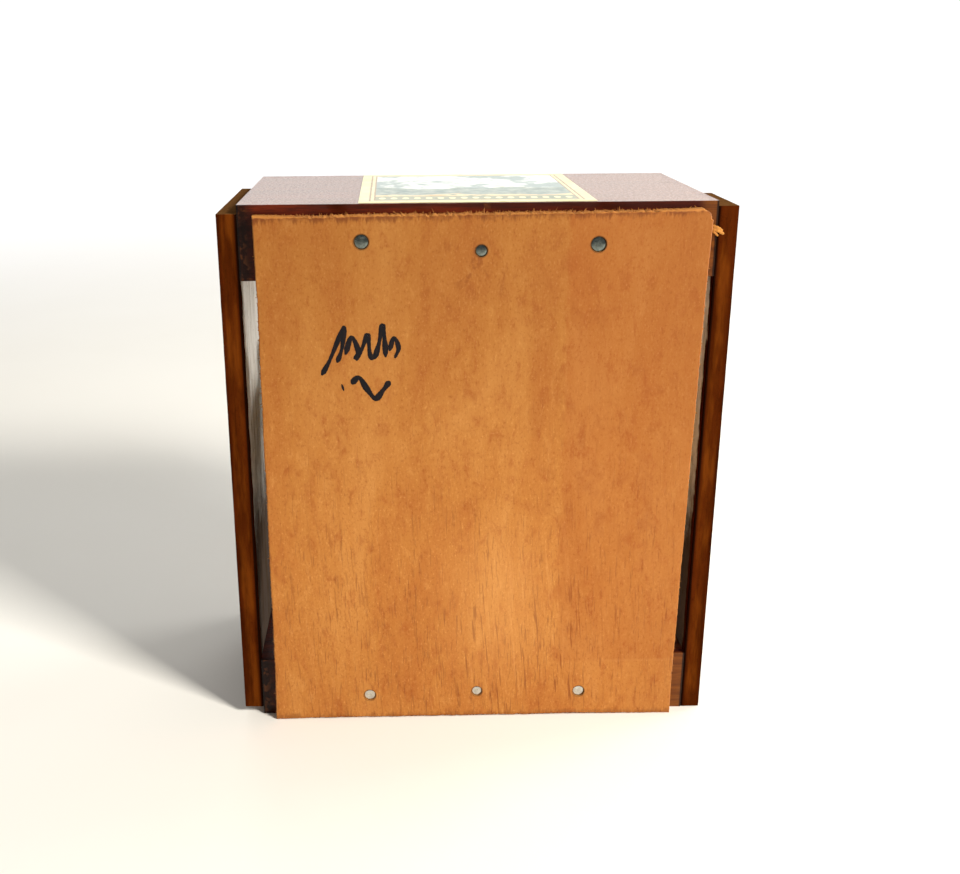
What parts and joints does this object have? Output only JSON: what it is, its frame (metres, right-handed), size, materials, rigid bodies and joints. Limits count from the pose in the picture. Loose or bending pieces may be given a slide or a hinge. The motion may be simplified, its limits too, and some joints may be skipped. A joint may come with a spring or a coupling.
{
  "type": "cylinder music box",
  "caption": "Crate-style wooden case on end, with a lever-wound cylinder, comb and governor movement under a sliding glass lid.",
  "frame": {"origin": "middle of the case's footprint, on the rear end board's outer face, which it stands on", "axes": "+Z from the rear end to the label end, +Y from the base panel to the glass lid, +X to the viewer's right when the base panel is faced. In use the box lies on its base panel: turn it -90 degrees about X"},
  "size_m": [0.1574, 0.083, 0.1745],
  "materials": {
    "pine_panel": "thin orange-tan varnish on flat-sawn pine, ragged saw-cut edges",
    "stained_board": "glossy reddish-brown varnish",
    "stained_slat": "dark red-brown stain, bare inner face",
    "label_paper": null,
    "nail_steel": "dull steel nail heads",
    "bare_rail": "unfinished softwood",
    "lid_glass": "clear float glass with ground edges",
    "pull_wood": "varnished hardwood strip",
    "bed_brass": "lacquered brass, lightly tarnished",
    "plate_brass": "fine-grained brass plates",
    "blued_steel": "blued screws",
    "jewel": "polished red stone cap",
    "comb_steel": "ground tempered steel",
    "lead": "dull lead weights",
    "spring_steel": "tempered ribbon",
    "polished_steel": "polished steel",
    "knob_black": "turned black knob",
    "cylinder_brass": "polished brass tube",
    "wheel_brass": "cut brass wheels"
  },
  "bodies": {
    "case": {"base_panel": "pine_panel", "label_end_board": "stained_board", "rear_end_board": "stained_board", "left_slat": "stained_slat", "right_slat": "stained_slat", "paper_label": "label_paper", "label_end_base_nails": "nail_steel", "rear_end_base_nails": "nail_steel", "left_slat_nails": "nail_steel", "right_slat_nails": "nail_steel", "left_rail": "bare_rail", "right_rail": "bare_rail", "bedplate": "bed_brass", "bedplate_screws": "blued_steel", "frame_screws": "blued_steel", "left_bridge": "plate_brass", "right_bridge": "plate_brass", "barrel_bridge": "plate_brass", "governor_plate": "plate_brass", "governor_cock": "plate_brass", "cock_screw": "blued_steel", "jewel_cap": "jewel", "worm_foot": "plate_brass", "comb_base": "plate_brass", "comb": "comb_steel", "comb_screws": "blued_steel", "tuning_leads": "lead", "click_screw": "blued_steel", "click_spring": "spring_steel", "stop_post": "plate_brass", "stop_screw": "blued_steel"},
    "lid": {"glass_lid": "lid_glass", "lid_pull": "pull_wood"},
    "barrel": {"spring_barrel": "cylinder_brass", "barrel_cover": "cylinder_brass", "great_wheel": "wheel_brass", "mainspring": "spring_steel"},
    "arbor": {"winding_arbor": "polished_steel", "ratchet_wheel": "polished_steel", "lever_nut": "plate_brass"},
    "pawl": {"click": "polished_steel"},
    "lever": {"winding_lever": "polished_steel", "lever_knob": "knob_black"},
    "cylinder": {"cylinder_tube": "cylinder_brass", "cylinder_pins": "polished_steel", "cylinder_left_cap": "wheel_brass", "cylinder_right_cap": "wheel_brass", "cylinder_arbor": "polished_steel", "cylinder_pinion": "polished_steel", "cylinder_wheel": "wheel_brass"},
    "second": {"second_arbor": "polished_steel", "second_wheel": "wheel_brass"},
    "third": {"third_arbor": "polished_steel", "worm_wheel": "wheel_brass"},
    "fan": {"fan_worm": "polished_steel", "fan_blades": "wheel_brass"},
    "stop": {"stop_lever": "plate_brass"}
  },
  "joints": [
    {"name": "lid_slide", "type": "slide", "parent": "case", "child": "lid", "axis": [1, 0, 0], "range_m": [0, 0.12]},
    {"name": "cylinder_turn", "type": "hinge", "parent": "case", "child": "cylinder", "pos_m": [0.002, -0.003, 0.072], "axis": [1, 0, 0], "continuous": true},
    {"name": "barrel_turn", "type": "hinge", "parent": "case", "child": "barrel", "pos_m": [-0.048, -0.002, 0.09598], "axis": [1, 0, 0], "continuous": true},
    {"name": "second_turn", "type": "hinge", "parent": "case", "child": "second", "pos_m": [0.05, -0.0064, 0.0913], "axis": [1, 0, 0], "continuous": true},
    {"name": "third_turn", "type": "hinge", "parent": "case", "child": "third", "pos_m": [0.05, -0.0064, 0.1063], "axis": [1, 0, 0], "continuous": true},
    {"name": "fan_turn", "type": "hinge", "parent": "case", "child": "fan", "pos_m": [0.054, 0.006, 0.0967], "axis": [0, 1, 0], "continuous": true},
    {"name": "arbor_wind", "type": "hinge", "parent": "case", "child": "arbor", "pos_m": [-0.06, -0.002, 0.09598], "axis": [1, 0, 0], "range_deg": [0, 2160], "deforming": ["mainspring"]},
    {"name": "click_lift", "type": "hinge", "parent": "case", "child": "pawl", "pos_m": [-0.0637, 0.00668, 0.10632], "axis": [1, 0, 0], "range_deg": [0, 9], "stiffness_Nm_per_rad": 0.002, "springref_deg": -11.46},
    {"name": "lever_swing", "type": "hinge", "parent": "case", "child": "lever", "pos_m": [-0.0677, -0.002, 0.09598], "axis": [1, 0, 0], "range_deg": [-95, 0]},
    {"name": "stop_swing", "type": "hinge", "parent": "case", "child": "stop", "pos_m": [0.046, 0.0117, 0.116], "axis": [0, 1, 0], "range_deg": [-18, 0]}
  ],
  "couplings": [
    {"joint": "barrel_turn", "follows": "cylinder_turn", "ratio": -0.25},
    {"joint": "second_turn", "follows": "cylinder_turn", "ratio": -6},
    {"joint": "third_turn", "follows": "cylinder_turn", "ratio": 24},
    {"joint": "fan_turn", "follows": "cylinder_turn", "ratio": -960}
  ]
}
